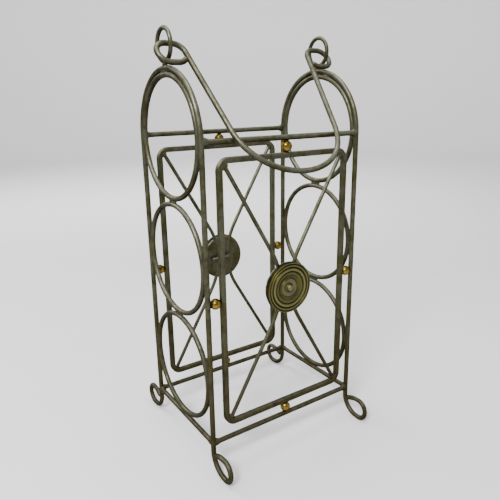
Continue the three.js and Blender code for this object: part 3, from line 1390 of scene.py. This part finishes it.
    def ball(self) -> Workpiece:
        """Turns a brass ball with a solder neck at each end, at the origin and along Z.

        Returns:
            The ball.
        """
        radius = node_size(f"{self.name}_top_ball").x / 2
        deselect_all()
        bpy.ops.mesh.primitive_uv_sphere_add(segments=36, ring_count=24, radius=radius)
        ball = Workpiece(f"{self.name}_ball_model")
        ball.edit()
        for end in (-1.0, 1.0):
            ball.pick(lambda centre, normal, end=end: end * centre.z > self.ball_pole * radius)
            for draw, ratio in self.ball_neck:
                ball.lift(end * draw * MM)
                ball.widen(ratio)
        ball.tidy()
        ball.leave()
        ball.smooth(60.0)
        return ball

    def balls(self) -> None:
        """Places a ball between the panel frame and each rod and leg round it."""
        model = self.ball()
        for place in ("top", "bottom", "left", "right"):
            node = f"{self.name}_{place}_ball"
            ball = model.copy(f"{self.name}_{place}_brass_ball")
            lying = place in ("left", "right")
            turn = Matrix.Rotation(math.pi / 2, 4, "Y") if lying else Matrix.Identity(4)
            ball.place(Matrix.Translation(node_middle(node)) @ turn)
            ball.hand_over(FRAME_BODY, Slot.BRASS, node)
            self.brass.append(ball)
        bpy.data.objects.remove(model.obj)

    def beads(self) -> None:
        """Lays the welds at the ends of the bent bars and under the tie bar."""
        thin = node_size(f"{self.name}_tie_bar").z / 2
        beads = Beads(f"{self.name}_wall_welds", self.uneven.puddled, thin)
        spread = self.corner_weld
        corner_size = (spread, self.corner_weld_depth, self.corner_weld_slimness * spread)
        for place, side in (("left", -1.0), ("right", 1.0)):
            low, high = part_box(f"{self.name}_{place}_bent_bar")
            near, far = (low.x, high.x) if side > 0 else (high.x, low.x)
            for z in (low.z, high.z):
                up = math.copysign(1.0, z - self.sizes.middle)
                corner = Vector((far - side * 0.9 * thin, self.y, z - 0.6 * up * thin))
                beads.lay(corner, corner_size, Matrix.Rotation(side * up * math.pi / 4, 3, "Y"))
            joint_y = self.y - self.facing * 1.05 * thin
            beads.lay(Vector((near + side * thin, joint_y, self.sizes.middle)), self.tie_weld)
        self.keep(beads.join())

    def dress(self, iron: bpy.types.Material, brass: bpy.types.Material) -> None:
        """Paints the wall.

        Args:
            iron: Finish of the rods, the frame and the bars.
            brass: Finish of the balls.
        """
        for piece in self.iron:
            dress(piece, iron)
        for piece in self.brass:
            dress(piece, brass)
        centre, radius = self.medallion.centre, self.medallion.radius
        finish = BronzedCasting(centre, self.facing, radius, f"{self.name}_bronzed_casting")
        dress(self.casting, finish.build())


# ---- Bail ----


@dataclass
class Bail:
    """The carrying handle: a bowed grip, two sides and an eye at each end, hung in the rings."""

    sizes: Measures
    uneven: Unevenness
    drop: float = 163 * MM
    grip_turn: float = 26.0
    corner_radius: float = 60 * MM
    side_slope: float = 82.5
    eye_radius: float = 12.6 * MM
    eye_flat: float = 6.5 * MM
    eye_end_gap: float = -0.3 * MM  # the rounded end of an eye just touches the side
    eye_inset: float = 2 * MM
    eye_ring_gap: float = 1.3 * MM
    rest_gap: float = 0.3 * MM
    forging: float = 0.2 * MM

    @property
    def lean(self) -> float:
        """Angle from straight down at which the bail leans on the front top rod, in radians."""
        s = self.sizes
        hang = s.ring_height - s.top
        away = math.hypot(s.half_depth, hang)
        return math.atan2(s.half_depth, hang) + math.asin((2 * s.rod + self.rest_gap) / away)

    @property
    def eye_tail_turn(self) -> float:
        """Angle, past its straight bottom, by which an eye curls up to the side, in degrees."""
        radius = self.sizes.rod
        reach = (self.eye_end_gap + radius - self.eye_radius) / (self.eye_radius + radius)
        return math.degrees(math.acos(reach)) - self.side_slope

    def build(self) -> None:
        """Bends half of the bail from the middle of the grip to the end of an eye, and mirrors it."""
        s = self.sizes
        ring = node_size("left_ring")
        strand_drop = ring.z / 2 + self.eye_ring_gap + s.rod
        eye_drop = strand_drop - math.sqrt(self.eye_radius**2 - self.eye_inset**2)
        side, grip = math.radians(self.side_slope), math.radians(self.grip_turn)
        top_across = s.half_width - self.eye_inset - self.eye_flat - self.eye_radius * math.sin(side)
        top_up = self.drop - eye_drop + self.eye_radius * math.cos(side)
        across = top_across - self.corner_radius * (math.sin(side) - math.sin(grip))
        up = top_up - self.corner_radius * (math.cos(grip) - math.cos(side))
        rise = 1.0 - math.cos(grip)
        grip_radius = (across * math.sin(side) - up * math.cos(side)) / (
            math.sin(grip) * math.sin(side) - rise * math.cos(side)
        )
        side_length = (up - grip_radius * rise) / math.sin(side)
        upwards = Vector((0.0, math.sin(self.lean), math.cos(self.lean)))
        start = s.ring_height * Z_AXIS - self.drop * upwards
        self.piece = Bar("bent_bail", start, X_AXIS, upwards, s.rod)
        self.piece.bend(grip_radius, self.grip_turn)
        self.piece.bend(self.corner_radius, self.side_slope - self.grip_turn).run(side_length)
        self.piece.bend(self.eye_radius, -self.side_slope).run(self.eye_flat)
        self.piece.bend(self.eye_radius, -180).run(self.eye_flat)
        self.piece.bend(self.eye_radius, -self.eye_tail_turn).round_end().finish()
        self.piece.forge(self.uneven.forged, self.forging)
        self.piece.hand_over(BAIL_BODY, Slot.IRON, "bail")

    def dress(self, iron: bpy.types.Material) -> None:
        """Paints the bail.

        Args:
            iron: Its finish.
        """
        dress(self.piece, iron)


# ---- Studio ----


@dataclass(frozen=True)
class Lamp:
    """A soft square lamp that looks at the rack or at the wall behind it."""

    name: str
    at: tuple[float, float, float]
    size: float
    power: float
    aim: tuple[float, float, float] | None = None

    def light(self, target: Vector) -> None:
        """Hangs the lamp.

        Args:
            target: Point that it looks at, if it has no aim of its own.
        """
        aim = Vector(self.aim or target)
        deselect_all()
        bpy.ops.object.light_add(type="AREA", location=self.at)
        lamp = bpy.context.object
        lamp.name = self.name
        lamp.data.shape = "SQUARE"
        lamp.data.size = self.size
        lamp.data.energy = self.power
        lamp.rotation_euler = (aim - Vector(self.at)).to_track_quat("-Z", "Y").to_euler()


@dataclass
class Studio:
    """Plain pale floor that curves up all round, soft lamps and the camera. Angles are in degrees."""

    floor_radius: float = 3.2
    cove_radius: float = 0.9
    cove_steps: int = 10
    wall_height: float = 2.2
    standpoint: tuple[float, float, float] = (-0.3382, -0.5103, 0.4113)
    azimuth: float = -34.22
    elevation: float = 16.36
    roll: float = -0.67
    lens: float = 36.95
    shift: tuple[float, float] = (-0.01434, -0.0041)
    sensor: float = 36.0
    clip: tuple[float, float] = (0.01, 50.0)
    sky: Colour = (0.95, 0.97, 1.0, 1.0)
    sky_strength: float = 0.56
    lamps: tuple[Lamp, ...] = (
        Lamp("key_lamp", (-1.3, -0.9, 1.7), 0.6, 58.0),
        Lamp("fill_lamp", (1.5, -1.1, 1.0), 1.2, 4.0),
        Lamp("top_lamp", (-0.1, 0.2, 2.1), 1.2, 22.0),
        Lamp("back_lamp", (-0.7, 1.8, 1.4), 1.2, 30.0),
        Lamp("wall_lamp", (0.5, 1.2, 1.6), 1.2, 40.0, aim=(1.9, 2.8, 0.8)),
    )

    def build(self) -> None:
        """Builds the studio."""
        self.camera()
        self.floor()
        middle = (CAD_BOX[0] + CAD_BOX[1]) / 2
        for lamp in self.lamps:
            lamp.light(middle)
        world = bpy.context.scene.world or bpy.data.worlds.new("studio")
        bpy.context.scene.world = world
        world.use_nodes = True
        sky = world.node_tree.nodes["Background"]
        sky.inputs["Color"].default_value = self.sky
        sky.inputs["Strength"].default_value = self.sky_strength

    def camera(self) -> None:
        """Sets up the camera."""
        a, e = math.radians(self.azimuth), math.radians(self.elevation)
        back = Vector((math.sin(a) * math.cos(e), -math.cos(a) * math.cos(e), math.sin(e)))
        right = Z_AXIS.cross(back).normalized()
        aim = Matrix((right, back.cross(right), back)).transposed()
        aim = aim @ Matrix.Rotation(math.radians(self.roll), 3, "Z")
        deselect_all()
        bpy.ops.object.camera_add(location=self.standpoint, rotation=aim.to_euler())
        camera = bpy.context.object
        camera.name = "camera"
        camera.data.lens = self.lens
        camera.data.sensor_width = self.sensor
        camera.data.shift_x, camera.data.shift_y = self.shift
        camera.data.clip_start, camera.data.clip_end = self.clip
        bpy.context.scene.camera = camera

    def floor(self) -> None:
        """Shapes the floor: a disc whose edge is drawn up in a cove."""
        deselect_all()
        bpy.ops.mesh.primitive_circle_add(vertices=96, radius=self.floor_radius, fill_type="NGON")
        paper = Workpiece("studio_floor")
        paper.edit()
        bpy.ops.mesh.select_all(action="SELECT")
        bpy.ops.mesh.inset(thickness=0.5 * self.floor_radius, depth=0.0)
        bpy.ops.mesh.select_all(action="DESELECT")
        bpy.ops.mesh.select_mode(type="EDGE")
        bpy.ops.mesh.select_non_manifold()
        radius = self.floor_radius
        for index in range(1, self.cove_steps + 1):
            before, after = (math.pi / 2 * i / self.cove_steps for i in (index - 1, index))
            grown = radius + self.cove_radius * (math.sin(after) - math.sin(before))
            paper.lift(self.cove_radius * (math.cos(before) - math.cos(after)))
            paper.widen(grown / radius)
            radius = grown
        paper.lift(self.wall_height - self.cove_radius)
        paper.leave()
        paper.smooth(60.0)
        dress(paper, PaleFloor().build())


def main() -> None:
    """Builds the studio and the rack, then dresses every piece."""
    logging.basicConfig(level=logging.INFO, format="%(name)s: %(message)s")
    Studio().build()
    sizes = Measures.read()
    uneven = Unevenness.make()
    iron = PaintedIron().build()
    brass = OldBrass().build()
    for side in ("left", "right"):
        wall = EndWall(side, sizes, uneven)
        wall.build()
        wall.dress(iron)
    for name, facing, corner_weld in (("front", -1.0, 1.9), ("back", 1.0, 1.4)):
        wall = LongWall(name, facing, sizes, uneven, corner_weld=corner_weld)
        wall.build()
        wall.dress(iron, brass)
    bail = Bail(sizes, uneven)
    bail.build()
    bail.dress(iron)


if __name__ == "__main__":
    main()
